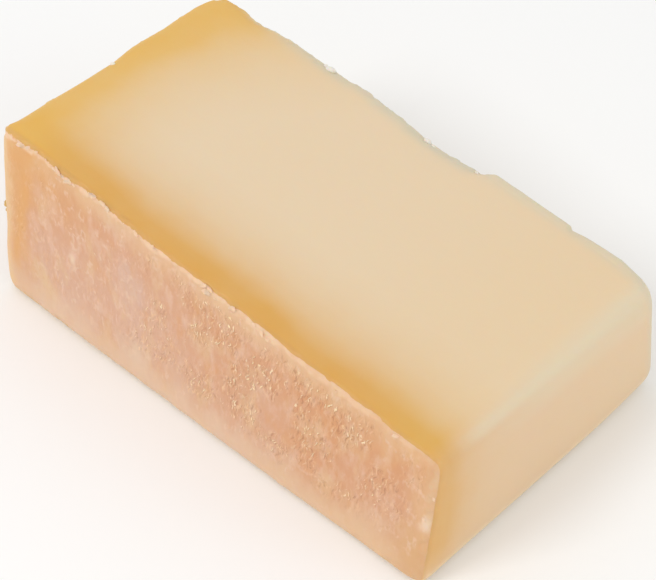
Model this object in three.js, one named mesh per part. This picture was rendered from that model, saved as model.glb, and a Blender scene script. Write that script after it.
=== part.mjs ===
// A chunk of hard mountain cheese, cut as a short sector out of a large round wheel.
// Millimetres, +Z up. The origin lies under the middle of the chunk, on the surface that it rests on.
// +X runs from the wheel's rim towards its heart, and -Y faces out of the wheel's flat side.
// Rind covers those two outer sides. The top and bottom are straight cuts that would meet at the
// wheel's axis, so the chunk is thickest at the rim. The heart end and the back are cuts too.
import * as THREE from "three";
import { ImprovedNoise } from "three/addons/math/ImprovedNoise.js";

// Driving dimensions of the wheel and of the piece cut from it
const wheelRadius = 325;
const chunkLength = 105.5;
const chunkWidth = 60;
const rimThickness = 39.9;

// How far the faces stray from a true sector
const heartWidening = 3; // the heart end is wider than the rim end
const rimFlare = 3.3; // the base is wider than the top, at the rim
const heartFlare = 8; // the same, at the heart
const heartLean = 0.3; // the heart cut leans in at the top
const rimBulge = 1.4; // the wheel's side swells out from its edge towards half of its height
const backDrop = 0.9; // the top falls towards the back
const rindBelly = 0.4; // the flat side swells a little in the middle of its length
const cutDish = 0.3; // the top is faintly dished where the knife dragged

// Radii of the corners seen from above, by the two sides that meet there
const cornerRadius = { rindRim: 2, rimBack: 6.5, backHeart: 3.5, heartRind: 2.2 };

// Radii of the edges round the top and round the base, by side
const topRadius = { rim: 2.8, heart: 3.7, rind: 0.9, back: 1 };
const baseRadius = { rim: 1.8, heart: 3.2, rind: 2, back: 2.2 };

// What the two corners of the back add to those radii, and how far that reaches
const topCornerExtra = { rimBack: -1.3, backHeart: 1.4 };
const baseCornerExtra = { rimBack: 0, backHeart: 1.8 };
const cornerReach = 10;

// The rim edge of the top is worn from the rind to half way across
const wornRadius = 4.4;
const wornShare = { from: 0.5, to: 0.56 };

// The back edge of the top is broken away from the rim as far as a step, and whole beyond it
const brokenRadius = 3.1;
const brokenLength = 67;
const brokenStep = 1.6;
const edgeBites = [
  { place: 9.5, depth: 1.9, reach: 5 },
  { place: 58, depth: 2.6, reach: 9 },
];

// Relief of the dried rind and of the broken edge
const rindSwell = { height: 0.45, span: 13 };
const rindGrain = { height: 0.28, span: 4.2 };
const edgeCrumble = { height: 1, span: 5.5 };
const reliefReach = 3.5; // how far past its edge the relief of a side dies away
const noiseLayer = { rindSide: 1.7, rimSide: 9.1, backEdge: 7.5 };
const grainLayerShift = 3.3;

// Grid of the surface: a few closer lines near each edge, even steps between them
const lengthSteps = 46;
const widthSteps = 26;
const heightSteps = 16;
const edgeLines = 3;
const edgeBand = 4;
const edgeCrowding = 1.6;

const { lerp, clamp, smoothstep } = THREE.MathUtils;
const noise = new ImprovedNoise();

// Turns an even grid position, from -1 to 1, into millimetres from the middle of a span.
function gridPlace(even, steps, span) {
  const half = span / 2;
  const fromEdge = Math.round(((1 - Math.abs(even)) * steps) / 2);
  const innerSteps = steps / 2 - edgeLines;
  const inset =
    fromEdge <= edgeLines
      ? edgeBand * (fromEdge / edgeLines) ** edgeCrowding
      : edgeBand + ((half - edgeBand) * (fromEdge - edgeLines)) / innerSteps;
  return Math.sign(even) * (half - inset);
}

// Bends the square corner between two faces, at distances a and b from them, into a quarter round.
function roundCorner(a, b, radius) {
  const overA = Math.max(0, radius - a);
  const overB = Math.max(0, radius - b);
  if (overA === 0 || overB === 0) return [a, b];
  const pull = Math.max(overA, overB) / Math.hypot(overA, overB);
  return [radius - overA * pull, radius - overB * pull];
}

// A hump of height 1 that dies away with distance.
function hump(distance, reach) {
  return Math.exp(-((distance / reach) ** 2));
}

// The edge radius at a place seen from above: each side's own, shared out by nearness near a corner.
function edgeRadiusAt(x, y, radii, cornerExtra) {
  const distance = {
    rim: chunkLength / 2 + x,
    heart: chunkLength / 2 - x,
    rind: chunkWidth / 2 + y,
    back: chunkWidth / 2 - y,
  };
  let sum = 0;
  let weights = 0;
  for (const side of Object.keys(radii)) {
    const weight = 1 / (1 + distance[side] ** 2);
    sum += weight * radii[side];
    weights += weight;
  }
  const atRimBack = hump(Math.hypot(distance.rim, distance.back), cornerReach);
  const atBackHeart = hump(Math.hypot(distance.back, distance.heart), cornerReach);
  return sum / weights + cornerExtra.rimBack * atRimBack + cornerExtra.backHeart * atBackHeart;
}

// The radius of the top's rim edge across the chunk: wide where the edge is worn.
function rimRadiusAt(y) {
  const across = 0.5 + y / chunkWidth;
  return lerp(wornRadius, topRadius.rim, smoothstep(across, wornShare.from, wornShare.to));
}

// The radius of the top's back edge along the chunk: wide where the edge has broken away.
function backRadiusAt(x) {
  const fromRim = chunkLength / 2 + x;
  const crumble = noise.noise(x / edgeCrumble.span, noiseLayer.backEdge, noiseLayer.backEdge);
  let broken = brokenRadius + edgeCrumble.height * crumble;
  for (const bite of edgeBites) broken += bite.depth * hump(fromRim - bite.place, bite.reach);
  const whole = smoothstep(fromRim, brokenLength - brokenStep, brokenLength);
  return lerp(broken, topRadius.back, whole);
}

// Draws a plan place in so that its inset from the outline goes from one distance to another.
function inset(x, y, from, to) {
  const halfLength = chunkLength / 2;
  const halfWidth = chunkWidth / 2;
  return [(x * (halfLength - to)) / (halfLength - from), (y * (halfWidth - to)) / (halfWidth - from)];
}

// Rounds the four upright corners of the plan, each by its own radius.
function roundPlan(x, y) {
  const rimSide = x < 0;
  const rindSide = y < 0;
  const radius = rimSide
    ? rindSide ? cornerRadius.rindRim : cornerRadius.rimBack
    : rindSide ? cornerRadius.heartRind : cornerRadius.backHeart;
  const [a, b] = roundCorner(chunkLength / 2 - Math.abs(x), chunkWidth / 2 - Math.abs(y), radius);
  return [Math.sign(x) * (chunkLength / 2 - a), Math.sign(y) * (chunkWidth / 2 - b)];
}

// Height of the top cut above the base.
function thicknessAt(along, across) {
  const sector = rimThickness * (1 - (along * chunkLength) / wheelRadius);
  const dish = cutDish * Math.sin(Math.PI * along) * Math.sin(Math.PI * across);
  return sector - backDrop * across - dish;
}

// The straight block with rounded edges becomes the leaning, tapering sector.
function toSector(x, y, up) {
  const along = clamp(0.5 + x / chunkLength, 0, 1);
  const across = clamp(0.5 + y / chunkWidth, 0, 1);
  const rimArc = wheelRadius * (1 - Math.cos((up * rimThickness) / wheelRadius));
  const widening = heartWidening * (along - 0.5) + lerp(rimFlare, heartFlare, along) * (0.5 - up);
  const belly = rindBelly * Math.sin(Math.PI * along) * (1 - across);
  const rimSwell = rimBulge * across * (2 - across);
  return new THREE.Vector3(
    x + (rimArc - rimSwell) * (1 - along) - heartLean * up * along,
    y * (1 + widening / chunkWidth) - belly,
    up * thicknessAt(along, across),
  );
}

// Unevenness of a rind surface, from two sizes of noise.
function rindRelief(u, v, layer) {
  const swell = rindSwell.height * noise.noise(u / rindSwell.span, v / rindSwell.span, layer);
  const grainLayer = layer + grainLayerShift;
  const grain = rindGrain.height * noise.noise(u / rindGrain.span, v / rindGrain.span, grainLayer);
  return swell + grain;
}

// Moves a point of the block's even grid to its place on the chunk.
function chunkPoint(even) {
  let x = gridPlace(even.x, lengthSteps, chunkLength);
  let y = gridPlace(even.y, widthSteps, chunkWidth);
  const thickness = thicknessAt(0.5 + x / chunkLength, 0.5 + y / chunkWidth);
  let z = thickness / 2 + gridPlace(even.z, heightSteps, thickness);

  const isTop = even.z > 0;
  const radius = isTop
    ? edgeRadiusAt(x, y, { ...topRadius, rim: rimRadiusAt(y), back: backRadiusAt(x) }, topCornerExtra)
    : edgeRadiusAt(x, y, baseRadius, baseCornerExtra);
  const fromOutline = Math.min(chunkLength / 2 - Math.abs(x), chunkWidth / 2 - Math.abs(y));
  const [drawnIn, depth] = roundCorner(fromOutline, isTop ? thickness - z : z, radius);
  z = isTop ? thickness - depth : depth;
  if (drawnIn > fromOutline) [x, y] = inset(x, y, fromOutline, drawnIn);
  [x, y] = roundPlan(x, y);

  const point = toSector(x, y, z / thickness);
  const offBase = smoothstep(z, 0, reliefReach);
  const onRind = 1 - smoothstep(chunkWidth / 2 + y, 0, reliefReach);
  const onRim = 1 - smoothstep(chunkLength / 2 + x, 0, reliefReach);
  point.y += offBase * onRind * rindRelief(x, z, noiseLayer.rindSide);
  point.x += offBase * onRim * rindRelief(y, z, noiseLayer.rimSide);
  return point;
}

function chunkGeometry() {
  const geometry = new THREE.BoxGeometry(2, 2, 2, lengthSteps, widthSteps, heightSteps);
  const position = geometry.getAttribute("position");
  const even = new THREE.Vector3();
  for (let i = 0; i < position.count; i++) {
    const point = chunkPoint(even.fromBufferAttribute(position, i));
    position.setXYZ(i, point.x, point.y, point.z);
  }
  geometry.computeBoundingBox();
  const middle = geometry.boundingBox.getCenter(new THREE.Vector3());
  geometry.translate(-middle.x, -middle.y, -geometry.boundingBox.min.z);
  geometry.computeVertexNormals();
  return geometry;
}

const paste = new THREE.MeshStandardMaterial({ color: 0xe8cfae, roughness: 0.55, metalness: 0 });

const chunk = new THREE.Mesh(chunkGeometry(), paste);
chunk.name = "cheese_chunk";

const part = new THREE.Group();
part.add(chunk);

export default part;
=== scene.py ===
"""Looks of a chunk of hard mountain cheese: smooth cut paste that turns golden under a dry, pitted rind.

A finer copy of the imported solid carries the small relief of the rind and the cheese's colours. Flakes of dry
crust and crumbs of paste lie on it as pieces of their own. Values with MM, the lamps and the floor are in
metres. Other places, depths and sizes on the chunk are in millimetres. A soft step is given as the two ends
of a range and, where they aren't 0 and 1, what the step gives at those ends.
"""
import math

import bmesh
import bpy
import numpy as np
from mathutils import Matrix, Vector
from mathutils.bvhtree import BVHTree


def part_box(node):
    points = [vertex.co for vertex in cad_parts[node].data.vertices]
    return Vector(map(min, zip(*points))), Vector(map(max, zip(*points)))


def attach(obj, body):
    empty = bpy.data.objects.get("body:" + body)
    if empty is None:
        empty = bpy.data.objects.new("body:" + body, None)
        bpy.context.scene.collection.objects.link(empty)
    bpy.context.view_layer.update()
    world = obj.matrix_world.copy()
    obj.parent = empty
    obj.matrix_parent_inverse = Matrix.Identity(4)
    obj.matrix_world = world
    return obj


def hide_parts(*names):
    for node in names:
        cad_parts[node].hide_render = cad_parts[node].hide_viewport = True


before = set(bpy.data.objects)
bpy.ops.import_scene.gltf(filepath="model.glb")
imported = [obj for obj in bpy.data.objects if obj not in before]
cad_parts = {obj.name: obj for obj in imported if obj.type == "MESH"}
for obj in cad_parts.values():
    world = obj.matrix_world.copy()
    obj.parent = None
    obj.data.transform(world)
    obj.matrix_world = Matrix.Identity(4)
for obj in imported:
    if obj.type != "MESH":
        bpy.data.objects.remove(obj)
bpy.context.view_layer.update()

MM = 0.001
X, Y, Z = range(3)
CHUNK_NODE = "cheese_chunk"
CHUNK_BODY = "root"

# Camera
IMAGE_WIDTH_PX = 656
FOCAL_LENGTH_PX = 2000
SENSOR_WIDTH_MM = 36
CAMERA_AZIMUTH = 42.6
CAMERA_ELEVATION = 42.9
CAMERA_DISTANCE = 356 * MM
CAMERA_AIM = Vector((4.3, -1.5, 15)) * MM
CAMERA_CLIP_START = 10 * MM

# Studio
DOME_STRENGTH = 0.8
LAMPS = {
    "key_light": {"azimuth": -18, "elevation": 44, "distance": 0.9, "width": 0.3, "power": 2.0},
    "fill_light": {"azimuth": 98, "elevation": 26, "distance": 0.9, "width": 0.6, "power": 0.9},
}
FLOOR_SIZE = 6
FLOOR_GAP = 0.05 * MM
FLOOR_ROUGHNESS = 0.9

# Finer copy of the solid
MERGE_DISTANCE = 0.001 * MM
QUAD_ANGLE = math.radians(40)
SMOOTHING_LEVEL = 1
RIND_FACING = 0.9  # the surface is rind where its normal points this far out of the wheel
EDGE_FACING = 0.45  # a face is on an edge of the cuts where its normal points this far out of both
REFINED_REACH = 2.2
REFINED_CUTS = 2
TOP_SLOPE = 0.123  # the top falls this much for each millimetre along the chunk

# Small relief of the rind and of its lip
LUMP = {"size": 1.4, "height": 0.12 * MM}
PIT = {"size": 0.8, "stretch": 0.7, "share": 0.025, "depth": 0.2 * MM, "wall": (0.1, 0.36, 1, 0)}
LIP = {"size": 2.6, "height": 0.9 * MM}
RELIEF_SEED = 4
RELIEF_REACH = {"rind": (0.2, 1, 1, 0), "lip": (0.5, 1.8, 1, 0), "back_edge": (0.3, 1.6, 1, 0)}
RELIEF_REACH |= {"base": (0.3, 2)}
RELIEF_SIZES = ("size", "height", "share", "depth")

# Back edge of the top: broken away as far as a step, where the crumble ends, then whole as far as a notch.
# The breaks are places along the chunk, each with how far the edge stands out or is broken back there
CRUMBLE = {"size": 1.6, "height": 0.5 * MM, "by_step": (14.5, 15, 1, 0.2)}
EDGE_BREAKS = [
    (11.5, 0.0), (13.0, -0.2), (13.9, -0.55), (14.9, -1.0), (15.2, -0.5), (16.2, -0.15), (17.3, 0.25),
    (33.9, 0.2), (34.6, -0.35), (38.0, 0.1), (45.0, 0.5), (50.0, 0.0),
]

# Painted light on the edges of the cuts: painted highlights on the rounded ones and on the heart end's upper
# one, which reaches further down the end than over the top, and painted shade on the thin ones at the back
ROUND_EDGE = {"turn": (0.02, 0.2), "off_rind": (4, 12)}
HEART_EDGE = {"reach_by_facing": (0.5, 0.9, 2.6, 6.0), "off_rind": (11, 30)}
THIN_EDGE = {"back": (0, 3.2, 1, 0), "top_facing": (0.56, 0.78), "corner": (0, 2.5, 0.7, 0)}

# Share of grain on the dried rind: along the flat side, across the rim end, and off the base and the cuts
GRAIN_SHARE = {"from_rim": (-20, 0, 0.36, 1), "to_heart": (32, 46, 0, -0.4), "on_rim_end": (5, 14, 0, 0.8)}
GRAIN_SHARE |= {"off_base": (4, 11, 0.15, 1), "off_cut": (0.6, 3.2, 0.1, 1)}

# Grain of the dried rind: fine upright grit and short dashes that lean and wander, winding folds and a skin.
# A dash's ends are in shares of its length, and its ridge and groove in shares of its width
GRIT = {"width": 0.48, "length": 1.8, "lean": 0.3, "wander": 0.6, "wander_size": 1.5}
DASH = {"width": 0.7, "length": 1.9, "lean": 0.25, "wander": 0.7, "wander_size": 1.3, "tilt": 1.2}
DASH |= {"half_length": 0.3, "end": (-0.05, 0.18, 1, 0), "strength": (0, 0.5), "ridge": (0.04, 0.24, 1, 0)}
DASH |= {"groove_beside": 0.32, "groove": (0.04, 0.22, 1, 0)}
GLINT = {"size": 0.8, "shift": (31, 7, 3), "kept": (0.46, 0.58)}
FOLD = {"size": 1.8, "stretch": 0.45, "width": (0, 0.1, 1, 0)}
FOLD |= {"gap_size": 1.8, "gap_shift": (7, 19, 41), "kept": (0.48, 0.66)}
SKIN = {"size": 0.7, "stretch": 0.6}
DRIED = {"size": 8.0, "shift": (17, 5, 9), "share": (0.34, 0.62, 0.15, 1)}

# Soft patches: size, contrast, and a shift that keeps each kind apart from the others
MOTTLES = {
    "paste": (7.0, 1.2, (0, 0, 0)),
    "tan": (10.0, 1.8, (0, 0, 0)),
    "blots": (3.6, 2.4, (3, 1, 2)),
    "blooms": (2.6, 2.4, (13, 4, 21)),
    "straws": (4.2, 2.6, (29, 8, 5)),
    "clusters": (3.2, 3.0, (41, 3, 17)),
    "tatters": (2.6, 2.6, (5, 11, 2)),
    "bits": (1.5, 2.2, (0, 0, 0)),
}

# Golden zone: depths under the two rinds, each with its share of gold. Depths under the flat side count for
# more with each millimetre towards the heart, and depths under the rim for less towards the back. Up the
# heart end the zone is lost at the foot and narrower at the top
GOLD_UNDER_FLAT_SIDE = [(0, 1.0), (3.5, 0.96), (8, 0.47), (12, 0.22), (16, 0.08), (21, 0.0)]
GOLD_UNDER_RIM = [(0, 0.95), (3, 0.94), (6, 0.84), (9, 0.56), (12, 0.34), (16, 0.19), (21, 0.08), (27, 0.0)]
GOLD_NARROWING = 0.0006
GOLD_WAVER = {"size": 14, "height": 3.0}
GOLD_AT_BACK = (0, 28, 1, 0.6)
GOLD_ON_END = {"along": (49, 52), "lost_up": (2, 10, 0.45, 0), "narrowed_up": (19, 25, 0, 0.3)}
CREAM_WARM_ALONG = (5, 45)
GOLD_YELLOW_ALONG = (30, 50)

# How tan the rind is, by distance from the rim end, by height and by patches
TAN_ALONG_RIND = [
    (0, 0.1), (10, 0.12), (15, 0.1), (23, 0.08), (33, 0.0), (43, 0.05), (53, 0.2), (63, 0.26), (73, 0.34),
    (83, 0.58), (93, 0.44), (106, 0.5),
]
RIM_END_PLACE = -53
TAN_UP = (10, 36, 0, 0.45)
TAN_BY_PATCHES = 0.3
PATCH_STRETCH = 0.5

# Strands, spots and ragged margins of the rind. A margin has its depth, the pattern that frays it and how far
STRAND = {"size": 1.5, "stretch": 0.4}
SPOT = {"stretch": 0.7, "ragged": 0.8, "inner": 0.4, "outer": 1.3, "off_side": (0, 1, 1, 0)}
RAGGED = {
    "ragged_cut": ("cut_depth", "blots", -3.0),
    "ragged_corner": ("from_corner", "blots", 5.0),
    "ragged_strip": ("from_corner", "blooms", 2.0),
    "ragged_streak": ("off_streak", "blooms", 1.6),
}
FOOT_RAGGED = (0.2, 0.9, -1.5, 3)
STREAK_MIDDLE_UP = (8, 34, 3.4, 7)
MARGIN_TAN_ALONG = (25, 50)
FOOT_TAN_ALONG = (5, 48)
GRIT_BY_DRYNESS = (0.08, 0.7)
GRIT_BY_CLUSTERS = (0.15, 0.8, 0.3, 1)
DASHES_BY_DRYNESS = (0, 1, 0, 0.85)

# Border of the crust's colour: how far the normal points out of the wheel there, along the chunk, with fine
# raggedness, and with scallops on the heart half of the crest
CRUST = {"least_facing": (-45, 45, 0.94, 0.74), "ragged": (0.2, 0.8, -0.04, 0.04), "border": (-0.02, 0.03)}
SCALLOP = {"size": 3.0, "height": (0.42, 0.6, -0.04, 0.2), "begins": (-20, 0), "ends": (40, 48, 1, 0)}

# Pale lip of the crust under the cuts, with the terms of its share
LIP_TINT = {"tatters_depth": (0.2, 0.8, 0.2, 0.7), "rim_depth": (-38, -18, 0.45, 0), "heart_side": (46, 51)}
LIP_TINT |= {"off_foot": (3, 6), "off_heart_foot": (11, 16, 0, 0.8)}
LIP_SHARE = [("crust", 1), ("under_lip", -0.3, 0.6, 1, 0), ("off_foot", 1), ("along", -15, 35, 1, 0.6)]
LIP_SHARE += [("tatters", 0.1, 0.9, 0.35, 0.85)]

# Bump heights of the grain, and how rough and how soft the cheese is
DASH_HEIGHTS = {"Ridges": 0.05, "Glints": 0.02, "Grooves": -0.03}
FOLD_HEIGHT = (0.03, 0.3, 0.01, 0.05)
SKIN_HEIGHT = (0, 1, 0.08, 0.14)
GRIT_HEIGHT = 0.075
GRIT_CROWN = {"from": (0.52, 0.74), "height": 0.045}
PASTE_BUMP = {"size": 1.6, "height": 0.03}
CHEESE_BUMP = 1.0
ROUGHNESS = {"paste_to_crust": (0, 1, 0.46, 0.55), "skin": 0.12}
CHEESE_SHINE = 0.4
CHEESE_SOFT_DEPTH = 2 * MM
SOFT_SHARE = 0.3
SOFT_DEPTH_BY_COLOUR = (1.0, 0.55, 0.25)

# Flakes of crust: runs along the crest, each from one place to another with its number of flakes, then single
# flakes by place and length, up the heart edge, and along and up the flat side
CREST_FLAKE_RUNS = [
    (-45, -36, 8), (-36, -21, 24), (-18, -2, 5), (1.5, 4.5, 8), (7.5, 9.5, 6), (10, 17, 5), (20, 48, 2),
]
CREST_FLAKE_LENGTHS = (0.5, 2.1)
CREST_FLAKE_RISE = (0.2, 2.4)
HEART_EDGE_FLAKES = [(20, 0.9)]
RIND_SCALES = [(-14.5, 9.2, 1.0), (-26, 24, 0.7), (-8, 21, 0.8), (12, 24, 0.7), (52.4, 15.4, 1.1)]
FLAKE_OFF_SIDES = {"crest": 1, "heart_edge": 3, "heart_end": 1.5, "flat_side": 5}
FLAKE = {"width": 0.5, "thickness": 0.14, "tilt": math.radians(16), "spin": math.radians(35)}
FLAKE |= {"rough_size": 0.4, "rough_height": 0.25 * MM, "shape_detail": 3, "seed": 3}

# Crumbs of paste on the edges of the cuts: a point near each, then its length
EDGE_CRUMBS = [
    ((-49.5, -2, 40), 1.2), ((-21, 28, 36.5), 2.1), ((-22.8, 28, 36.5), 1.1), ((3.4, 28, 33.6), 1.6),
    ((4.8, 28, 33.4), 1.0), ((13.8, 28, 32.2), 1.0), ((-53, -30, 20.5), 1.4), ((-53, -30, 19), 0.9),
]
CRUMB = {"width": 0.75, "thickness": 0.55, "tilt": math.radians(30), "spin": math.radians(30)}
CRUMB |= {"rough_size": 0.7, "rough_height": 0.3 * MM, "shape_detail": 3, "seed": 8}

# Finish of the flakes and crumbs
BIT = {"dashes": 0.5, "beside_rind": (-28, -20, 1, 0), "roughness": (0.2, 0.8, 0.45, 0.75)}
BIT |= {"skin_height": 0.15, "ridge_height": 0.05, "bump": 0.8, "soft_depth": 0.2 * MM}


def srgb(red, green, blue):
    """A colour of 0 to 255 as the linear colour that nodes take."""
    def linear(level):
        level /= 255
        return level / 12.92 if level <= 0.04045 else ((level + 0.055) / 1.055) ** 2.4
    return (linear(red), linear(green), linear(blue), 1.0)


# Colours of the paste
CREAM = srgb(231, 207, 173)
CREAM_WARM = srgb(231, 205, 167)
GOLD = srgb(220, 164, 74)
GOLD_YELLOW = srgb(221, 169, 74)
GOLD_PALE = srgb(229, 179, 80)
# Paler paste in soft patches, and painted highlights along the rounded edges and the heart end's upper edge
PALE_PATCH_AND_EDGE_HIGHLIGHT = srgb(226, 212, 182)
# Painted shade on the thin, translucent back edges
THIN_BACK_SHADE = srgb(208, 203, 180)
PALER_RIM_EDGE = srgb(235, 208, 160)
EDGE_DULL = srgb(204, 158, 98)
# Painted floor bounce: paler paste at the foot
FOOT_BOUNCE_LIGHT = srgb(238, 219, 187)
# Painted shade on the heart end face
HEART_END_SHADE = srgb(221, 178, 140)

# Colours of the rind
RIND_PINK = srgb(215, 174, 151)
RIND_TAN = srgb(213, 153, 107)
RIND_BLOOM = srgb(227, 191, 166)
RIND_STRAW = srgb(224, 189, 148)
RIND_MARGIN = srgb(226, 189, 150)
RIND_MARGIN_TAN = srgb(223, 180, 135)
# Painted floor bounce: paler rind at the foot
RIND_FOOT_BOUNCE = srgb(224, 191, 164)
RIND_FOOT_TAN = srgb(225, 189, 152)
RIND_HEART_FOOT = srgb(213, 166, 118)
RIND_ORANGE = srgb(217, 158, 108)
RIND_CORNER = srgb(230, 193, 147)
RIND_OCHRE = srgb(222, 166, 104)
# Painted shade in the pits
RIND_PIT_SHADE = srgb(164, 110, 76)
# Painted shade in the grooves beside the dashes and in the grit's hollows
RIND_GROOVE_SHADE = srgb(166, 106, 68)
# Paler crust and painted highlights on the ridges and on the grit's crowns
RIND_RIDGE_AND_HIGHLIGHT = srgb(234, 194, 154)
RIND_GLINT = srgb(253, 230, 192)
RIND_FOLD = srgb(233, 200, 174)
RIND_DRIED = srgb(206, 146, 100)
RIND_LILAC = srgb(216, 184, 168)
RIND_CHALK = srgb(226, 199, 170)
RIND_SCALE = srgb(234, 206, 178)
LIP_PALE = srgb(238, 203, 170)
LIP_COOL = srgb(216, 190, 156)

# Spots of other colour on the flat side: along, up, radius, weight and colour
RIND_SPOTS = [
    (-15.5, 6.5, 5.0, 0.75, RIND_CHALK), (-17, 22, 6.5, 0.5, RIND_LILAC), (-40, 7, 5.0, 0.7, RIND_STRAW),
    (-31.5, 20, 2.2, 0.7, RIND_BLOOM), (-37, 28, 3.5, 0.5, RIND_BLOOM), (42, 23, 6.0, 0.3, RIND_ORANGE),
]

# Pale spots that lie over the margins as well, given the same way
PALE_SPOTS = [
    (-42, 33, 3.0, 0.1, RIND_BLOOM), (-40.3, 29, 2.6, 0.3, RIND_BLOOM), (-32, 18.6, 1.5, 0.8, RIND_SCALE),
    (51.9, 14.2, 1.5, 0.9, RIND_SCALE), (51.7, 12.8, 1.6, 0.9, RIND_SCALE),
]

# Colours of the loose bits and of the floor
FLAKE_PALE = srgb(242, 209, 180)
FLAKE_TAN = srgb(236, 195, 158)
CRUMB_PALE = srgb(240, 237, 230)
CRUMB_GOLD = srgb(232, 222, 204)
CRUMB_OCHRE = srgb(214, 174, 104)
FLOOR_WHITE = srgb(252, 252, 251)

# Layers of colour in their order. Each is a colour, or the name of a mixed one, and the terms that are
# multiplied to its share: a field with its soft step, or with its weight
PASTE_LAYERS = [
    # Painted shade on the heart end face
    (HEART_END_SHADE, ("along", 49, 53, 0, 0.36), ("across", -8, 22, 1, 0.65)),
    (PALE_PATCH_AND_EDGE_HIGHLIGHT, ("patches", 0.12)),
    # Painted highlights along the rounded edges and along the heart end's upper edge
    (PALE_PATCH_AND_EDGE_HIGHLIGHT, ("edge_round", 0.6)),
    (PALE_PATCH_AND_EDGE_HIGHLIGHT, ("heart_edge", 0.5)),
    # Painted floor bounce at the paste's foot
    (FOOT_BOUNCE_LIGHT, ("up", 0, 4.5, 0.75, 0)),
    # Paler paste within about a millimetre of the rim
    (PALER_RIM_EDGE, ("rim_depth", 0.1, 1.2, 0.5, 0)),
    (EDGE_DULL, ("rind_depth", 0.1, 1.4, 0.65, 0)),
    # Painted shade on the thin back edges
    (THIN_BACK_SHADE, ("thin_edge", 0.6), ("off_rim", 5, 16)),
]
RIND_PATCHES = [
    (RIND_ORANGE, ("blots", 0.5, 1, 0, 0.45)),
    (RIND_BLOOM, ("blooms", 0.5, 1, 0, 0.45)),
    (RIND_STRAW, ("straws", 0.55, 1, 0, 0.5)),
]
RIND_ZONES = [
    (RIND_DRIED, ("dry", 0.5, 1, 0, 0.25)),
    (RIND_BLOOM, ("strands", 0.5, 0.72, 0, 0.33)),
    (RIND_TAN, ("Skin", 0.5, 0.75, 0, 0.3)),
    ("margin", ("ragged_cut", -1.5, 5, 0.8, 0)),
    (RIND_OCHRE, ("up", 20, 36, 0, 0.62), ("along", -44, -20, 1, 0)),
    # Painted floor bounce at the rind's foot
    ("foot", ("ragged_up", 1, 12, 0.8, 0)),
    (RIND_HEART_FOOT, ("along", 43, 51), ("up", 7, 15, 0.65, 0)),
    (RIND_OCHRE, ("ragged_corner", 7, 13, 0.6, 0), ("up", 4, 15, 0.3, 1)),
    (RIND_CORNER, ("ragged_strip", 2, 4.6, 0.8, 0)),
    (RIND_OCHRE, ("ragged_streak", 0.6, 3, 0.8, 0), ("up", 5, 13)),
]
FOLD_SHARE = [("grain", 0.03, 0.3, 0.1, 0.5), ("grain", 0.4, 0.9, 1, 0.4), ("from_corner", 4, 14, 0.2, 1)]
MARK_STRENGTH = ("dry", 0.05, 0.6, 0.4, 1)
RIND_MARKS = [
    # Painted shade in the pits
    (RIND_PIT_SHADE, ("pits", 0.6), ("dry", 1)),
    (RIND_FOLD, ("Folds", 1), *FOLD_SHARE),
    # Painted shade in the grit's hollows
    (RIND_GROOVE_SHADE, ("Grit", 0.28, 0.44, 1, 0), ("gritty", 1), ("along", -5, 20, 0.25, 0.5)),
    # Paler crust and painted highlights on the grit's crowns
    (RIND_RIDGE_AND_HIGHLIGHT, ("Grit", 0.54, 0.7), ("gritty", 0.85)),
    # Painted shade in the grooves beside the dashes
    (RIND_GROOVE_SHADE, ("Grooves", 0.3), MARK_STRENGTH),
    # Paler crust and painted highlights on the ridges
    (RIND_RIDGE_AND_HIGHLIGHT, ("Ridges", 0.55), MARK_STRENGTH),
    (RIND_GLINT, ("Glints", 1), MARK_STRENGTH),
]

# Kinds of the node trees' sockets that aren't plain numbers
SOCKETS = {"Geometry": "NodeSocketGeometry", "Material": "NodeSocketMaterial", "Place": "NodeSocketVector"}
SOCKETS |= {"Shape Detail": "NodeSocketInt", "Seed": "NodeSocketInt"}


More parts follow.
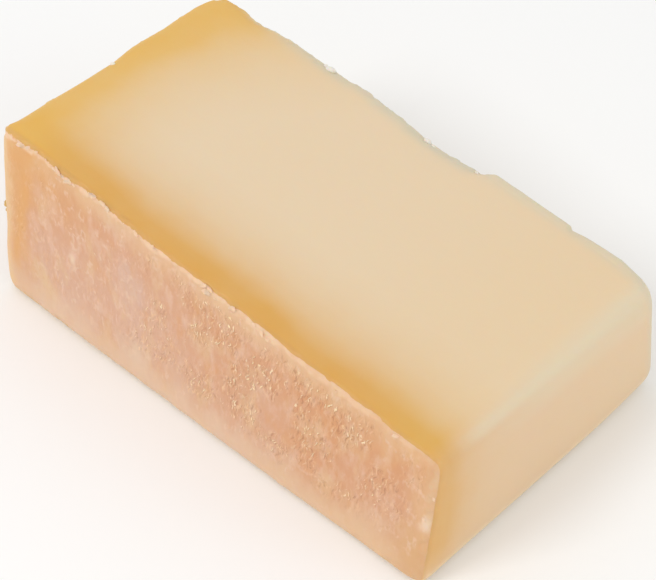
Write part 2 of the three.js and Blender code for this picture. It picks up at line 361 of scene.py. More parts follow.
class Wiring:
    """Adds nodes to a tree. An input is named or numbered, and is a plain value or another node's output."""

    def __init__(self, tree):
        self.tree = tree

    def node(self, kind, inputs=None, **settings):
        node = self.tree.nodes.new(kind)
        for name, value in settings.items():
            setattr(node, name, value)
        for key, value in (inputs or {}).items():
            if isinstance(value, bpy.types.NodeSocket):
                self.tree.links.new(value, node.inputs[key])
            else:
                node.inputs[key].default_value = value
        return node

    def out(self, kind, inputs=None, **settings):
        """The first output of a new node."""
        return self.node(kind, inputs, **settings).outputs[0]

    def math(self, operation, first, second=0.0, clamp=False):
        return self.out("ShaderNodeMath", {0: first, 1: second}, operation=operation, use_clamp=clamp)

    def sum(self, first, *others):
        for other in others:
            first = self.math("ADD", first, other)
        return first

    def weighted_sum(self, terms):
        """The sum of masks, each times its weight."""
        return self.sum(*(self.product(mask, weight) for mask, weight in terms))

    def product(self, first, *others):
        for other in others:
            first = self.math("MULTIPLY", first, other)
        return first

    def difference(self, first, second):
        return self.math("SUBTRACT", first, second)

    def centred(self, noise):
        """Noise that lies round 0.5, moved to lie round 0."""
        return self.difference(noise, 0.5)

    def vector(self, operation, first, second):
        return self.out("ShaderNodeVectorMath", {0: first, 1: second}, operation=operation)

    def scaled(self, vector, factor):
        return self.out("ShaderNodeVectorMath", {0: vector, "Scale": factor}, operation="SCALE")

    def upright(self, vector, factor):
        """A place whose height counts for a factor, which stretches a pattern upwards."""
        return self.vector("MULTIPLY", vector, (1, 1, factor))

    def axes(self, vector):
        return self.node("ShaderNodeSeparateXYZ", {0: vector}).outputs

    def step(self, value, low, high, at_low=0.0, at_high=1.0):
        """A soft step from one value to another."""
        inputs = {"Value": value, "From Min": low, "From Max": high, "To Min": at_low, "To Max": at_high}
        return self.out("ShaderNodeMapRange", inputs, interpolation_type="SMOOTHSTEP")

    def between(self, factor, first, second):
        """A value between two."""
        return self.out("ShaderNodeMix", {0: factor, 2: first, 3: second}, data_type="FLOAT")

    def blend(self, factor, first, second):
        """A colour between two."""
        return self.node("ShaderNodeMix", {0: factor, 6: first, 7: second}, data_type="RGBA").outputs[2]

    def share(self, fields, terms):
        """The product of some fields, each through its soft step or times its weight."""
        factors = []
        for name, *values in terms:
            change = self.product if len(values) == 1 else self.step
            factors.append(change(fields[name], *values))
        return self.product(*factors)

    def layers(self, fields, table):
        """The shares and colours that a table of layers gives."""
        return [(self.share(fields, terms), fields.get(colour, colour)) for colour, *terms in table]

    def layered(self, colour, layers):
        """A colour with others laid over it in turn, each by its own share."""
        for share, other in layers:
            colour = self.blend(share, colour, other)
        return colour

    def texture(self, vector, size, detail=2.0, roughness=0.5, **settings):
        """The outputs of noise round 0.5, with features of a size in the vector's own unit."""
        scale = self.math("DIVIDE", 1, size) if isinstance(size, bpy.types.NodeSocket) else 1 / size
        inputs = {"Vector": vector, "Scale": scale, "Detail": detail, "Roughness": roughness}
        return self.node("ShaderNodeTexNoise", inputs, **settings).outputs

    def noise(self, *values, **named):
        return self.texture(*values, **named)[0]

    def profile(self, value, stops):
        """A curve through (place, height) points."""
        span = stops[-1][0]
        node = self.node("ShaderNodeValToRGB", {0: self.math("DIVIDE", value, span)})
        elements = node.color_ramp.elements
        while len(elements) < len(stops):
            elements.new(0.5)
        for element, (place, height) in zip(elements, stops):
            element.position = place / span
            element.color = (height, height, height, 1)
        return node.outputs[0]

    def attribute(self, name):
        return self.node("ShaderNodeAttribute", attribute_name=name).outputs["Fac"]

    def field(self, name, kind="FLOAT"):
        return self.out("GeometryNodeInputNamedAttribute", {"Name": name}, data_type=kind)


def new_tree(name, kind, inputs, outputs):
    """A node tree with named sockets, its wiring, its inputs by name and its output node."""
    tree = bpy.data.node_groups.new(name, kind)
    for in_out, sockets in (("INPUT", inputs), ("OUTPUT", outputs)):
        for socket in sockets:
            socket_type = SOCKETS.get(socket, "NodeSocketFloat")
            tree.interface.new_socket(name=socket, in_out=in_out, socket_type=socket_type)
    wire = Wiring(tree)
    given = wire.node("NodeGroupInput").outputs
    result = wire.node("NodeGroupOutput")
    return tree, wire, given, result


def new_geometry_tree(name, sizes):
    """A geometry tree that takes a geometry, named sizes and a material."""
    return new_tree(name, "GeometryNodeTree", ("Geometry", *sizes, "Material"), ("Geometry",))


def run_nodes(piece, tree, values):
    """Runs a geometry tree on a piece with the named inputs, and leaves the result as its plain mesh."""
    modifier = piece.modifiers.new(tree.name, "NODES")
    modifier.node_group = tree
    for item in tree.interface.items_tree:
        if item.in_out == "INPUT" and item.name in values:
            modifier[item.identifier] = values[item.name]
    bake_modifiers(piece)


def bake_modifiers(piece):
    """Replaces a piece's mesh by what its modifiers make of it, and removes them."""
    depsgraph = bpy.context.evaluated_depsgraph_get()
    evaluated = piece.evaluated_get(depsgraph)
    mesh = bpy.data.meshes.new_from_object(evaluated, preserve_all_data_layers=True, depsgraph=depsgraph)
    piece.modifiers.clear()
    old_mesh = piece.data
    piece.data = mesh
    mesh.name = piece.name
    bpy.data.meshes.remove(old_mesh)


def new_piece(name, data):
    piece = bpy.data.objects.new(name, data)
    bpy.context.scene.collection.objects.link(piece)
    return piece


def direction(azimuth, elevation):
    """The unit vector from the object towards a viewer at an azimuth and an elevation in degrees."""
    turn = math.radians(azimuth)
    rise = math.radians(elevation)
    return Vector((math.sin(turn) * math.cos(rise), -math.cos(turn) * math.cos(rise), math.sin(rise)))


def aim_at(thing, target):
    thing.rotation_euler = (target - thing.location).to_track_quat("-Z", "Y").to_euler()


# Stage

def add_camera():
    data = bpy.data.cameras.new("camera")
    data.sensor_width = SENSOR_WIDTH_MM
    data.lens = FOCAL_LENGTH_PX / IMAGE_WIDTH_PX * SENSOR_WIDTH_MM
    data.clip_start = CAMERA_CLIP_START
    camera = new_piece("camera", data)
    camera.location = CAMERA_AIM + CAMERA_DISTANCE * direction(CAMERA_AZIMUTH, CAMERA_ELEVATION)
    aim_at(camera, CAMERA_AIM)
    bpy.context.scene.camera = camera


def add_light():
    world = bpy.data.worlds.new("white_dome")
    world.use_nodes = True
    dome = world.node_tree.nodes["Background"]
    dome.inputs["Color"].default_value = (1, 1, 1, 1)
    dome.inputs["Strength"].default_value = DOME_STRENGTH
    bpy.context.scene.world = world
    for name, lamp in LAMPS.items():
        data = bpy.data.lights.new(name, "AREA")
        data.energy = lamp["power"]
        data.size = lamp["width"]
        light = new_piece(name, data)
        light.location = CAMERA_AIM + lamp["distance"] * direction(lamp["azimuth"], lamp["elevation"])
        aim_at(light, CAMERA_AIM)
    bpy.context.scene.view_settings.view_transform = "Standard"


def add_floor():
    mesh = bpy.data.meshes.new("floor")
    half = FLOOR_SIZE / 2
    corners = [(x, y, -FLOOR_GAP) for x, y in ((-half, -half), (half, -half), (half, half), (-half, half))]
    mesh.from_pydata(corners, [], [(0, 1, 2, 3)])
    material = bpy.data.materials.new("pale_floor")
    material.use_nodes = True
    shader = material.node_tree.nodes["Principled BSDF"]
    shader.inputs["Base Color"].default_value = FLOOR_WHITE
    shader.inputs["Roughness"].default_value = FLOOR_ROUGHNESS
    mesh.materials.append(material)
    new_piece("floor", mesh)


# Patterns, all with place in millimetres

def pit_mask(wire, place, size, share):
    """1 inside small upright pits that lie scattered over a surface."""
    inputs = {"Vector": wire.upright(place, PIT["stretch"]), "Scale": wire.math("DIVIDE", 1, size)}
    cell = wire.node("ShaderNodeTexVoronoi", inputs).outputs
    near = wire.step(cell["Distance"], *PIT["wall"])
    chosen = wire.math("LESS_THAN", wire.axes(cell["Color"])[0], share)
    return wire.product(near, chosen)


def rind_plane(wire, place, form):
    """The place along and up the rind, in widths and lengths of a grain that leans and wanders."""
    along, across, up = wire.axes(place)
    leaning = wire.difference(wire.sum(along, across), wire.product(up, form["lean"]))
    flat = wire.out("ShaderNodeCombineXYZ", {0: leaning, 1: up})
    uneven = wire.texture(flat, form["wander_size"], detail=1, noise_dimensions="2D")[1]
    wander = wire.scaled(wire.vector("SUBTRACT", uneven, (0.5, 0.5, 0.5)), 2 * form["wander"])
    wandering = wire.vector("ADD", flat, wander)
    return wire.vector("MULTIPLY", wandering, (1 / form["width"], 1 / form["length"], 0))


def dash_marks(wire, place, share):
    """Masks of short dashes that lean and wander over the rind, and of the grooves on their shaded side.

    The rind is cut into cells, and a share of them has a dash.
    """
    among_cells = rind_plane(wire, place, DASH)
    inputs = {"Vector": among_cells, "Scale": 1.0}
    cell = wire.node("ShaderNodeTexVoronoi", inputs, voronoi_dimensions="2D").outputs
    chance, slant, length = wire.axes(cell["Color"])
    off_along, off_up, _ = wire.axes(wire.vector("SUBTRACT", among_cells, cell["Position"]))
    tilt = wire.product(wire.centred(slant), DASH["tilt"])
    beside = wire.sum(off_along, wire.product(off_up, tilt))
    past_end = wire.difference(wire.math("ABSOLUTE", off_up), wire.product(length, DASH["half_length"]))
    strength = wire.step(wire.difference(share, chance), *DASH["strength"])
    present = wire.product(wire.step(past_end, *DASH["end"]), strength)
    ridge = wire.step(wire.math("ABSOLUTE", beside), *DASH["ridge"])
    off_groove = wire.math("ABSOLUTE", wire.difference(beside, DASH["groove_beside"]))
    groove = wire.step(off_groove, *DASH["groove"])
    return wire.product(ridge, present), wire.product(groove, present)


def soft_folds(wire, place):
    """Mask of low folds that wander up the rind and break off here and there."""
    wandering = wire.noise(wire.upright(place, FOLD["stretch"]), FOLD["size"], detail=2.5)
    off = wire.math("ABSOLUTE", wire.centred(wandering))
    gaps = wire.noise(wire.vector("ADD", place, FOLD["gap_shift"]), FOLD["gap_size"])
    return wire.product(wire.step(off, *FOLD["width"]), wire.step(gaps, *FOLD["kept"]))


def dried_patches(wire, place):
    """1 in the patches of rind that dried and wrinkled the most."""
    return wire.step(wire.noise(wire.vector("ADD", place, DRIED["shift"]), DRIED["size"]), *DRIED["share"])


def dry_grain_group():
    """Shader group: the grain of dried crust, as ridges with glints and grooves, grit, folds and a skin. In
    the rind's colour the glints are painted highlights, the ridges partly painted highlights, and the grooves
    painted shade.
    """
    outputs = ("Ridges", "Glints", "Grooves", "Grit", "Folds", "Skin")
    tree, wire, given, result = new_tree("dry_grain", "ShaderNodeTree", ("Place", "Share"), outputs)
    place = given["Place"]
    ridges, grooves = dash_marks(wire, place, given["Share"])
    breaks = wire.noise(wire.vector("ADD", place, GLINT["shift"]), GLINT["size"], detail=1)
    masks = {
        "Ridges": ridges,
        "Glints": wire.product(ridges, wire.step(breaks, *GLINT["kept"])),
        "Grooves": wire.product(grooves, wire.difference(1, ridges)),
        "Grit": wire.noise(rind_plane(wire, place, GRIT), 1, noise_dimensions="2D"),
        "Folds": soft_folds(wire, place),
        "Skin": wire.noise(wire.upright(place, SKIN["stretch"]), SKIN["size"], detail=4, roughness=0.6),
    }
    for name, mask in masks.items():
        tree.links.new(mask, result.inputs[name])


def soft_mottle_group():
    """Shader group: soft uneven patches, from 0 to 1, of a size in millimetres."""
    inputs = ("Place", "Size", "Contrast")
    tree, wire, given, result = new_tree("soft_mottle", "ShaderNodeTree", inputs, ("Patches",))
    noise = wire.noise(given["Place"], given["Size"], detail=3)
    away = wire.product(wire.centred(noise), given["Contrast"])
    tree.links.new(wire.math("ADD", away, 0.5, clamp=True), result.inputs["Patches"])


# Materials

def new_material(name):
    """A material, its wiring, its shader and the surface's own place in millimetres."""
    material = bpy.data.materials.new(name)
    material.use_nodes = True
    wire = Wiring(material.node_tree)
    shader = material.node_tree.nodes["Principled BSDF"]
    place = wire.scaled(wire.node("ShaderNodeTexCoord").outputs["Object"], 1 / MM)
    return material, wire, shader, place


def placed_group(wire, name, inputs):
    """Puts a shader group into a material with its own values."""
    return wire.node("ShaderNodeGroup", inputs, node_tree=bpy.data.node_groups[name]).outputs


def mottle(wire, place, kind):
    """Soft patches of one kind."""
    size, contrast, shift = MOTTLES[kind]
    inputs = {"Place": wire.vector("ADD", place, shift), "Size": size, "Contrast": contrast}
    return placed_group(wire, "soft_mottle", inputs)["Patches"]


def set_surface(wire, shader, colour, roughness, height, bump_strength):
    """Gives a shader its colour, its roughness and a bump of a height in millimetres."""
    bump = wire.out("ShaderNodeBump", {"Height": height, "Distance": MM, "Strength": bump_strength})
    links = {"Base Color": colour, "Roughness": roughness, "Normal": bump}
    for name, output in links.items():
        wire.tree.links.new(output, shader.inputs[name])


def set_soft_depth(shader, depth):
    """Lets a little light into the cheese, red the deepest."""
    shader.inputs["Subsurface Weight"].default_value = SOFT_SHARE
    shader.inputs["Subsurface Radius"].default_value = SOFT_DEPTH_BY_COLOUR
    shader.inputs["Subsurface Scale"].default_value = depth


def paste_colour(wire, place):
    """Cream paste that turns golden towards both rinds, a little paler on its rounded edges and the heart
    end's upper edge as painted highlights, with painted shade on the heart end and on the thin back edges, and
    a foot paled by painted floor bounce.
    """
    along, across, up = wire.axes(place)
    rind_depth = wire.attribute("rind_depth")
    rim_depth = wire.attribute("rim_depth")
    on_end = wire.step(along, *GOLD_ON_END["along"])
    waver = wire.product(wire.centred(wire.noise(place, GOLD_WAVER["size"])), GOLD_WAVER["height"])
    narrowing = wire.sum(wire.product(along, GOLD_NARROWING), 1.0)
    narrowing = wire.sum(narrowing, wire.product(on_end, wire.step(up, *GOLD_ON_END["narrowed_up"])))
    kept_on_end = wire.difference(1, wire.product(on_end, wire.step(up, *GOLD_ON_END["lost_up"])))
    under_flat = wire.profile(wire.sum(wire.product(rind_depth, narrowing), waver), GOLD_UNDER_FLAT_SIDE)
    under_flat = wire.product(under_flat, kept_on_end)
    off_rim = wire.sum(wire.product(rim_depth, wire.step(across, *GOLD_AT_BACK)), waver)
    under_rim = wire.profile(off_rim, GOLD_UNDER_RIM)
    cream = wire.blend(wire.step(along, *CREAM_WARM_ALONG), CREAM, CREAM_WARM)
    gold = wire.blend(wire.step(along, *GOLD_YELLOW_ALONG), GOLD, GOLD_YELLOW)
    inner, outer = (wire.blend(under_rim, colour, GOLD_PALE) for colour in (cream, gold))
    fields = {"along": along, "across": across, "up": up, "off_rim": off_rim}
    fields |= {"rind_depth": rind_depth, "rim_depth": rim_depth}
    fields |= {edge: wire.attribute(edge) for edge in ("edge_round", "heart_edge", "thin_edge")}
    fields["patches"] = mottle(wire, place, "paste")
    return wire.layered(wire.blend(under_flat, inner, outer), wire.layers(fields, PASTE_LAYERS))


def spot_layers(wire, place, spots, blooms):
    """Layers of ragged spots on the flat side."""
    on_flat_side = wire.step(wire.attribute("rind_depth"), *SPOT["off_side"])
    layers = []
    for along, up, radius, weight, colour in spots:
        off_middle = wire.vector("SUBTRACT", place, (along, 0, up))
        flat_off = wire.vector("MULTIPLY", off_middle, (1, 0, SPOT["stretch"]))
        distance = wire.node("ShaderNodeVectorMath", {0: flat_off}, operation="LENGTH").outputs["Value"]
        ragged = wire.sum(distance, wire.product(blooms, SPOT["ragged"] * radius))
        spot = wire.step(ragged, SPOT["inner"] * radius, SPOT["outer"] * radius, weight, 0)
        layers.append((wire.product(spot, on_flat_side), colour))
    return layers


def rind_fields(wire, place, grain, shares):
    """What the rind's layers go by: places, depths, patterns, shares of grain and mixed colours."""
    along, _, up = wire.axes(place)
    fields = {"along": along, "up": up, **dict(grain.items()), **shares}
    upright = wire.upright(place, PATCH_STRETCH)
    for kind in ("tan", "blots", "blooms", "straws"):
        fields[kind] = mottle(wire, upright, kind)
    fields["strands"] = wire.noise(wire.upright(place, STRAND["stretch"]), STRAND["size"], detail=3)
    fields["pits"] = pit_mask(wire, place, PIT["size"], PIT["share"])
    fields["cut_depth"] = wire.attribute("cut_depth")
    from_corner = wire.math("MAXIMUM", wire.attribute("rind_depth"), wire.attribute("rim_depth"))
    off_streak = wire.difference(from_corner, wire.step(up, *STREAK_MIDDLE_UP))
    fields |= {"from_corner": from_corner, "off_streak": wire.math("ABSOLUTE", off_streak)}
    for name, (depth, pattern, reach) in RAGGED.items():
        fields[name] = wire.sum(fields[depth], wire.product(fields[pattern], reach))
    fields["ragged_up"] = wire.sum(up, wire.step(fields["straws"], *FOOT_RAGGED))
    fields["margin"] = wire.blend(wire.step(along, *MARGIN_TAN_ALONG), RIND_MARGIN, RIND_MARGIN_TAN)
    # Painted floor bounce at the rind's foot
    fields["foot"] = wire.blend(wire.step(along, *FOOT_TAN_ALONG), RIND_FOOT_BOUNCE, RIND_FOOT_TAN)
    return fields


def rind_colour(wire, place, grain, shares):
    """Crust that is ochre at the rim's corner, then pink, then tan, with pale margins and grainy patches. Its
    foot is paled by painted floor bounce, its pits, grooves and grit hollows carry painted shade, its glints
    are painted highlights, and its ridges and grit crowns are partly painted highlights.
    """
    fields = rind_fields(wire, place, grain, shares)
    tan = wire.profile(wire.difference(fields["along"], RIM_END_PLACE), TAN_ALONG_RIND)
    tan = wire.sum(tan, wire.product(fields["tan"], TAN_BY_PATCHES))
    tan = wire.math("ADD", tan, wire.step(fields["up"], *TAN_UP), clamp=True)
    layers = [
        *wire.layers(fields, RIND_PATCHES),
        *spot_layers(wire, place, RIND_SPOTS, fields["blooms"]),
        *wire.layers(fields, RIND_ZONES),
        *spot_layers(wire, place, PALE_SPOTS, fields["blooms"]),
        *wire.layers(fields, RIND_MARKS),
    ]
    return wire.layered(wire.blend(tan, RIND_PINK, RIND_TAN), layers)


def crust_mask(wire, place, skin):
    """1 on the crust, as far as a ragged border with scallops on the heart half of the crest."""
    along = wire.axes(place)[X]
    over = wire.difference(wire.attribute("rind_facing"), wire.step(along, *CRUST["least_facing"]))
    over = wire.sum(over, wire.step(skin, *CRUST["ragged"]))
    scallops = wire.step(wire.noise(place, SCALLOP["size"], detail=1), *SCALLOP["height"])
    scalloped = wire.product(wire.step(along, *SCALLOP["begins"]), wire.step(along, *SCALLOP["ends"]))
    return wire.step(wire.sum(over, wire.product(scallops, scalloped)), *CRUST["border"])


def lip_layer(wire, place, crust):
    """The layer of the pale, tattered lip where the crust meets the cuts."""
    along, _, up = wire.axes(place)
    tatters = mottle(wire, place, "tatters")
    under_lip = wire.difference(wire.attribute("cut_depth"), wire.step(tatters, *LIP_TINT["tatters_depth"]))
    under_lip = wire.difference(under_lip, wire.step(along, *LIP_TINT["rim_depth"]))
    heart_side = wire.step(along, *LIP_TINT["heart_side"])
    off_foot, off_heart_foot = (wire.step(up, *LIP_TINT[name]) for name in ("off_foot", "off_heart_foot"))
    fields = {"crust": crust, "under_lip": under_lip, "along": along, "tatters": tatters}
    fields["off_foot"] = wire.between(heart_side, off_foot, off_heart_foot)
    return wire.share(fields, LIP_SHARE), wire.blend(heart_side, LIP_PALE, LIP_COOL)


def crust_height(wire, grain, shares):
    """The height of the crust's fine grain in millimetres."""
    dashes = wire.weighted_sum((grain[name], height) for name, height in DASH_HEIGHTS.items())
    folds = wire.product(grain["Folds"], wire.step(shares["grain"], *FOLD_HEIGHT))
    skin = wire.product(grain["Skin"], wire.step(shares["dry"], *SKIN_HEIGHT))
    crowns = wire.step(grain["Grit"], *GRIT_CROWN["from"])
    grit = wire.weighted_sum([(grain["Grit"], GRIT_HEIGHT), (crowns, GRIT_CROWN["height"])])
    return wire.sum(dashes, folds, skin, wire.product(grit, shares["gritty"]))


def cheese_material():
    """Cut paste and dried crust, with the crust's finest grain as bump."""
    material, wire, shader, place = new_material("cheese")
    rind_grain = wire.attribute("rind_grain")
    dry = wire.product(rind_grain, dried_patches(wire, place))
    grain = placed_group(wire, "dry_grain", {"Place": place, "Share": wire.step(dry, *DASHES_BY_DRYNESS)})
    clusters = wire.step(mottle(wire, place, "clusters"), *GRIT_BY_CLUSTERS)
    gritty = wire.product(wire.step(dry, *GRIT_BY_DRYNESS), clusters)
    shares = {"grain": rind_grain, "dry": dry, "gritty": gritty}
    crust = crust_mask(wire, place, grain["Skin"])
    rind = rind_colour(wire, place, grain, shares)
    layers = [(crust, rind), lip_layer(wire, place, crust)]
    colour = wire.layered(paste_colour(wire, place), layers)
    roughness = wire.step(crust, *ROUGHNESS["paste_to_crust"])
    roughness = wire.sum(roughness, wire.product(grain["Skin"], ROUGHNESS["skin"]))
    paste_height = wire.product(wire.noise(place, PASTE_BUMP["size"], detail=4), PASTE_BUMP["height"])
    height = wire.sum(wire.product(crust, crust_height(wire, grain, shares)), paste_height)
    set_surface(wire, shader, colour, roughness, height, CHEESE_BUMP)
    shader.inputs["Specular IOR Level"].default_value = CHEESE_SHINE
    set_soft_depth(shader, CHEESE_SOFT_DEPTH)
    return material


def bit_material(name, pale, dark, by_rind=None):
    """Loose bits: dry and pale, with darker patches, and of another colour beside the rind."""
    material, wire, shader, place = new_material(name)
    grain = placed_group(wire, "dry_grain", {"Place": place, "Share": BIT["dashes"]})
    colour = wire.blend(mottle(wire, place, "bits"), pale, dark)
    if by_rind:
        colour = wire.blend(wire.step(wire.axes(place)[Y], *BIT["beside_rind"]), colour, by_rind)
    roughness = wire.step(grain["Skin"], *BIT["roughness"])
    height = wire.weighted_sum([(grain["Skin"], BIT["skin_height"]), (grain["Ridges"], BIT["ridge_height"])])
    set_surface(wire, shader, colour, roughness, height, BIT["bump"])
    set_soft_depth(shader, BIT["soft_depth"])
    return material


# Chunk

def merged_copy(source, name):
    """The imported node's loose triangles as one joined mesh, its pairs of triangles made into quads."""
    mesh = bpy.data.meshes.new(name)
    faces = [list(face.vertices) for face in source.data.polygons]
    mesh.from_pydata([vertex.co for vertex in source.data.vertices], [], faces)
    work = bmesh.new()
    work.from_mesh(mesh)
    bmesh.ops.remove_doubles(work, verts=work.verts, dist=MERGE_DISTANCE)
    bmesh.ops.join_triangles(
        work, faces=work.faces, angle_face_threshold=QUAD_ANGLE, angle_shape_threshold=QUAD_ANGLE
    )
    work.to_mesh(mesh)
    work.free()
    return mesh


def numbers(items, field, kind=float, width=1):
    values = np.empty(len(items) * width, kind)
    items.foreach_get(field, values)
    return values


def vectors(items, field):
    return numbers(items, field, width=3).reshape(-1, 3)


def store(mesh, name, values):
    attribute = mesh.attributes.new(name, "FLOAT", "POINT")
    attribute.data.foreach_set("value", values.astype(np.float32))


def facing_out_of_wheel(normals):
    """How far each normal points out of the wheel's flat side or its rim."""
    return np.hypot(np.minimum(normals[:, X], 0), np.minimum(normals[:, Y], 0))


def face_means(mesh, name):
    """The mean of a stored value over each face."""
    values = numbers(mesh.attributes[name].data, "value")
    corners = numbers(mesh.loops, "vertex_index", int)
    starts = numbers(mesh.polygons, "loop_start", int)
    return np.add.reduceat(values[corners], starts) / np.diff(np.append(starts, len(corners)))


def search_tree(mesh, chosen):
    faces = [list(mesh.polygons[i].vertices) for i in np.flatnonzero(chosen)]
    return BVHTree.FromPolygons([vertex.co for vertex in mesh.vertices], faces)


def side_trees(mesh):
    """Search trees of the rind on the wheel's flat side, of the rind on its rim, and of the cuts."""
    normals = vectors(mesh.polygons, "normal")
    rind = face_means(mesh, "rind_facing") > RIND_FACING
    flat_side = rind & (normals[:, Y] <= normals[:, X])
    return [search_tree(mesh, side) for side in (flat_side, rind & ~flat_side, ~rind)]


def edge_tree(mesh, first_axis, second_axis):
    """A search tree of the turn between the sides that face along two axes."""
    normals = vectors(mesh.polygons, "normal")
    return search_tree(mesh, (normals[:, first_axis] > EDGE_FACING) & (normals[:, second_axis] > EDGE_FACING))


def distances(points, tree):
    """How far each point is from a tree's faces, in millimetres."""
    return np.array([tree.find_nearest(Vector(point))[3] for point in points]) / MM


def refine_near(mesh, trees):
    """Splits the faces that lie on or near some sides finer."""
    centres = vectors(mesh.polygons, "center")
    nearest = np.min([distances(centres, tree) for tree in trees], axis=0)
    work = bmesh.new()
    work.from_mesh(mesh)
    work.faces.ensure_lookup_table()
    edges = {edge for i in np.flatnonzero(nearest < REFINED_REACH) for edge in work.faces[i].edges}
    in_order = sorted(edges, key=lambda edge: edge.index)
    bmesh.ops.subdivide_edges(work, edges=in_order, cuts=REFINED_CUTS, use_grid_fill=True)
    work.to_mesh(mesh)
    work.free()


def soft_step(value, low, high, at_low=0.0, at_high=1.0):
    t = np.clip((value - low) / (high - low), 0, 1)
    return at_low + (at_high - at_low) * t * t * (3 - 2 * t)


def grain_share(along, up, rind_depth, cut_depth):
    """How grainy the dried rind is: smooth at the rim's corner, under the cuts and above the base."""
    on_flat_side = soft_step(along, *GRAIN_SHARE["from_rim"]) + soft_step(along, *GRAIN_SHARE["to_heart"])
    on_rim_end = soft_step(rind_depth, *GRAIN_SHARE["on_rim_end"])
    off_base = soft_step(up, *GRAIN_SHARE["off_base"])
    off_cut = soft_step(cut_depth, *GRAIN_SHARE["off_cut"])
    return np.maximum(on_flat_side, on_rim_end) * off_base * off_cut


def store_fields(mesh, edges):
    """Stores each vertex's depths under the sides, and its shares of grain, of painted edge highlight and
    shade, and of relief.
    """
    points = vectors(mesh.vertices, "co")
    normals = vectors(mesh.vertices, "normal")
    along = points[:, X] / MM
    up = points[:, Z] / MM
    rind_depth, rim_depth, cut_depth = (distances(points, tree) for tree in side_trees(mesh))
    off_back_edge, off_heart_edge, off_corner = (distances(points, tree) for tree in edges)
    off_rind = np.minimum(rind_depth, rim_depth)
    on_rind = soft_step(off_rind, *RELIEF_REACH["rind"])
    on_back_edge = soft_step(off_back_edge, *RELIEF_REACH["back_edge"])
    rind_relief = on_rind * soft_step(up, *RELIEF_REACH["base"])
    turn = soft_step(1 - np.abs(normals).max(axis=1), *ROUND_EDGE["turn"])
    heart_reach = soft_step(normals[:, X], *HEART_EDGE["reach_by_facing"])
    heart_edge = 1 - soft_step(off_heart_edge, 0, heart_reach)
    thin_back = soft_step(off_back_edge, *THIN_EDGE["back"])
    thin_back *= soft_step(normals[:, Z], *THIN_EDGE["top_facing"])
    break_places, break_heights = zip(*EDGE_BREAKS)
    fields = {
        "rind_depth": rind_depth,
        "rim_depth": rim_depth,
        "cut_depth": cut_depth,
        "thin_edge": np.maximum(thin_back, soft_step(off_corner, *THIN_EDGE["corner"])),
        "heart_edge": heart_edge * soft_step(rind_depth, *HEART_EDGE["off_rind"]),
        "edge_round": turn * soft_step(off_rind, *ROUND_EDGE["off_rind"]),
        "rind_grain": grain_share(along, up, rind_depth, cut_depth),
        "rind_relief": rind_relief,
        "lip_relief": rind_relief * soft_step(cut_depth, *RELIEF_REACH["lip"]),
        "crumble_relief": on_back_edge * soft_step(along, *CRUMBLE["by_step"]),
        "edge_break": on_back_edge * np.interp(along, break_places, break_heights),
    }
    for name, values in fields.items():
        store(mesh, name, values)


def cheese_body(material):
    """The chunk itself, on a finer mesh, with its small relief and with its depths stored for the colours."""
    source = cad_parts[CHUNK_NODE]
    body = new_piece("cheese_body", merged_copy(source, "cheese_body"))
    smoothing = body.modifiers.new("smoothing", "SUBSURF")
    smoothing.levels = smoothing.render_levels = SMOOTHING_LEVEL
    bake_modifiers(body)
    mesh = body.data
    store(mesh, "rind_facing", facing_out_of_wheel(vectors(mesh.vertices, "normal")))
    flat_tree, rim_tree, _ = side_trees(mesh)
    back_edge, heart_edge, back_corner = (edge_tree(mesh, *sides) for sides in ((Y, Z), (X, Z), (X, Y)))
    refine_near(mesh, (flat_tree, rim_tree, back_edge))
    store_fields(mesh, (back_edge, heart_edge, back_corner))
    mesh.materials.append(material)
    values = {"Break Height": MM}
    for kind, form in {"Lump": LUMP, "Pit": PIT, "Lip": LIP, "Crumble": CRUMBLE}.items():
        values |= {f"{kind} {size.title()}": form[size] for size in RELIEF_SIZES if size in form}
    run_nodes(body, relief_tree(values), {**values, "Material": material})
    body.data.shade_smooth()
    return body


def relief_tree(sizes):
    """Geometry tree: small relief along the normal on the rind, on its lip and on the top's back edge."""
    tree, wire, given, result = new_geometry_tree("surface_relief", sizes)
    place = wire.scaled(wire.out("GeometryNodeInputPosition"), 1 / MM)

    def uneven(kind, detail):
        """Unevenness of a kind's size that rises and falls by about its height."""
        scale = wire.math("DIVIDE", 1, given[f"{kind} Size"])
        inputs = {"Vector": place, "W": RELIEF_SEED, "Scale": scale, "Detail": detail}
        noise = wire.out("ShaderNodeTexNoise", inputs, noise_dimensions="4D")
        return wire.product(wire.centred(noise), given[f"{kind} Height"], 2)

    dry = wire.product(wire.field("rind_grain"), dried_patches(wire, place))
    lumps = wire.product(uneven("Lump", 2), dry)
    pits = pit_mask(wire, place, given["Pit Size"], given["Pit Share"])
    hollows = wire.product(pits, given["Pit Depth"], dry)
    rind = wire.product(wire.difference(lumps, hollows), wire.field("rind_relief"))
    lip = wire.product(uneven("Lip", 3), wire.field("lip_relief"))
    crumble = wire.product(uneven("Crumble", 3), wire.field("crumble_relief"))
    breaks = wire.product(wire.field("edge_break"), given["Break Height"])
    height = wire.sum(rind, lip, crumble, breaks)
    offset = wire.scaled(wire.out("GeometryNodeInputNormal"), height)
    moved = wire.out("GeometryNodeSetPosition", {"Geometry": given["Geometry"], "Offset": offset})
    finish_tree(tree, wire, moved, given, result)
    return tree


def finish_tree(tree, wire, geometry, given, result):
    """Ends a geometry tree: instances made real, and the material set."""
    whole = wire.out("GeometryNodeRealizeInstances", {0: geometry})
    painted = wire.out("GeometryNodeSetMaterial", {"Geometry": whole, "Material": given["Material"]})
    tree.links.new(painted, result.inputs[0])


# Loose bits

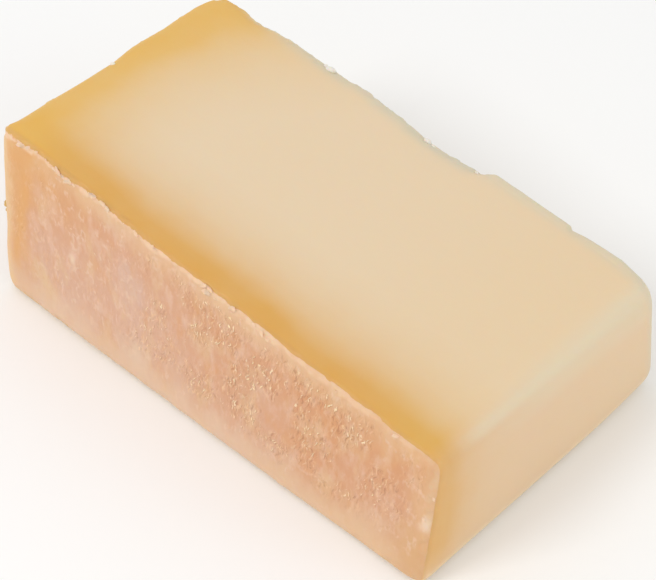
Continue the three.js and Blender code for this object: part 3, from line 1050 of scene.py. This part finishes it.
def flake_spots():
    """Points just off the rind near which flakes lie, the way each lies, and its length, in millimetres."""
    low, high = (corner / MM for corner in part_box(CHUNK_NODE))
    up_the_edge = (0, 0, 1)
    down_the_crest = (1, 0, -TOP_SLOPE)
    spots = []
    draw = np.random.default_rng(FLAKE["seed"])
    for first, last, count in CREST_FLAKE_RUNS:
        places = draw.uniform(first, last, count)
        lengths = np.interp(draw.random(count) ** 2, (0, 1), CREST_FLAKE_LENGTHS)
        rises = draw.uniform(*CREST_FLAKE_RISE, count)
        for along, length, rise in zip(places, lengths, rises):
            crest = high.z - TOP_SLOPE * (along - low.x)
            spots.append(((along, low.y - FLAKE_OFF_SIDES["crest"], crest + rise), down_the_crest, length))
    past_end = high.x + FLAKE_OFF_SIDES["heart_end"]
    for up, length in HEART_EDGE_FLAKES:
        spots.append(((past_end, low.y - FLAKE_OFF_SIDES["heart_edge"], up), up_the_edge, length))
    for along, up, length in RIND_SCALES:
        spots.append(((along, low.y - FLAKE_OFF_SIDES["flat_side"], up), up_the_edge, length))
    return spots


def crumb_spots():
    """Points near which crumbs lie, the way each lies, and its length, in millimetres."""
    return [(near, (1, 0, 0), length) for near, length in EDGE_CRUMBS]


def store_vectors(mesh, name, rows):
    attribute = mesh.attributes.new(name, "FLOAT_VECTOR", "POINT")
    attribute.data.foreach_set("vector", np.array([tuple(row) for row in rows], np.float32).ravel())


def bits_piece(name, surface, spots, form, material):
    """One piece made of irregular bits, each lying on a surface at the place nearest to its spot."""
    tree = search_tree(surface, np.ones(len(surface.polygons), bool))
    found = [tree.find_nearest(Vector(near) * MM) for near, _, _ in spots]
    mesh = bpy.data.meshes.new(name)
    mesh.from_pydata([place for place, *_ in found], [], [])
    store_vectors(mesh, "facing", [normal for _, normal, *_ in found])
    store_vectors(mesh, "lie", [lie for _, lie, _ in spots])
    store(mesh, "length", np.array([length for *_, length in spots]) * MM)
    piece = new_piece(name, mesh)
    values = {key.replace("_", " ").title(): value for key, value in form.items()}
    run_nodes(piece, bits_tree(values), {**values, "Material": material})
    return piece


def bits_tree(sizes):
    """Geometry tree: an irregular bit at each point, flattened, laid on the surface and tilted at random."""
    name = "irregular_bits"
    if name in bpy.data.node_groups:
        return bpy.data.node_groups[name]
    tree, wire, given, result = new_geometry_tree(name, sizes)
    lump = wire.node("GeometryNodeMeshIcoSphere", {"Radius": 0.5, "Subdivisions": given["Shape Detail"]})
    facing = wire.field("facing", "FLOAT_VECTOR")
    upright = wire.out("FunctionNodeAlignRotationToVector", {"Vector": facing}, axis="Z")
    laid = wire.out(
        "FunctionNodeAlignRotationToVector",
        {"Rotation": upright, "Vector": wire.field("lie", "FLOAT_VECTOR")},
        axis="Y",
        pivot_axis="Z",
    )
    most = wire.out("ShaderNodeCombineXYZ", {0: given["Tilt"], 1: given["Tilt"], 2: given["Spin"]})
    tilt = wire.node("FunctionNodeRandomValue", {"Seed": given["Seed"]}, data_type="FLOAT_VECTOR")
    tree.links.new(wire.scaled(most, -1.0), tilt.inputs["Min"])
    tree.links.new(most, tilt.inputs["Max"])
    turn = wire.out("FunctionNodeEulerToRotation", {0: tilt.outputs[0]})
    rotation = wire.out("FunctionNodeRotateRotation", {0: laid, 1: turn}, rotation_space="LOCAL")
    shape = wire.out("ShaderNodeCombineXYZ", {0: given["Width"], 1: 1.0, 2: given["Thickness"]})
    bits = wire.out(
        "GeometryNodeInstanceOnPoints",
        {
            "Points": wire.out("GeometryNodeMeshToPoints", {0: given["Geometry"]}),
            "Instance": lump.outputs["Mesh"],
            "Rotation": rotation,
            "Scale": wire.scaled(shape, wire.field("length")),
        },
    )
    whole = wire.out("GeometryNodeRealizeInstances", {0: bits})
    place = wire.scaled(wire.out("GeometryNodeInputPosition"), 1 / MM)
    uneven = wire.vector("SUBTRACT", wire.texture(place, given["Rough Size"])[1], (0.5, 0.5, 0.5))
    offset = wire.scaled(uneven, wire.product(given["Rough Height"], 2.0))
    rough = wire.out("GeometryNodeSetPosition", {"Geometry": whole, "Offset": offset})
    smooth = wire.out("GeometryNodeSetShadeSmooth", {"Geometry": rough})
    finish_tree(tree, wire, smooth, given, result)
    return tree


def main():
    add_camera()
    add_light()
    add_floor()
    dry_grain_group()
    soft_mottle_group()
    cheese = cheese_material()
    body = cheese_body(cheese)
    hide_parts(CHUNK_NODE)
    flake = bit_material("dry_flake", FLAKE_PALE, FLAKE_TAN)
    crumb = bit_material("paste_crumb", CRUMB_PALE, CRUMB_GOLD, CRUMB_OCHRE)
    flakes = bits_piece("crust_flakes", body.data, flake_spots(), FLAKE, flake)
    crumbs = bits_piece("edge_crumbs", body.data, crumb_spots(), CRUMB, crumb)
    for piece in (body, flakes, crumbs):
        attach(piece, CHUNK_BODY)


main()
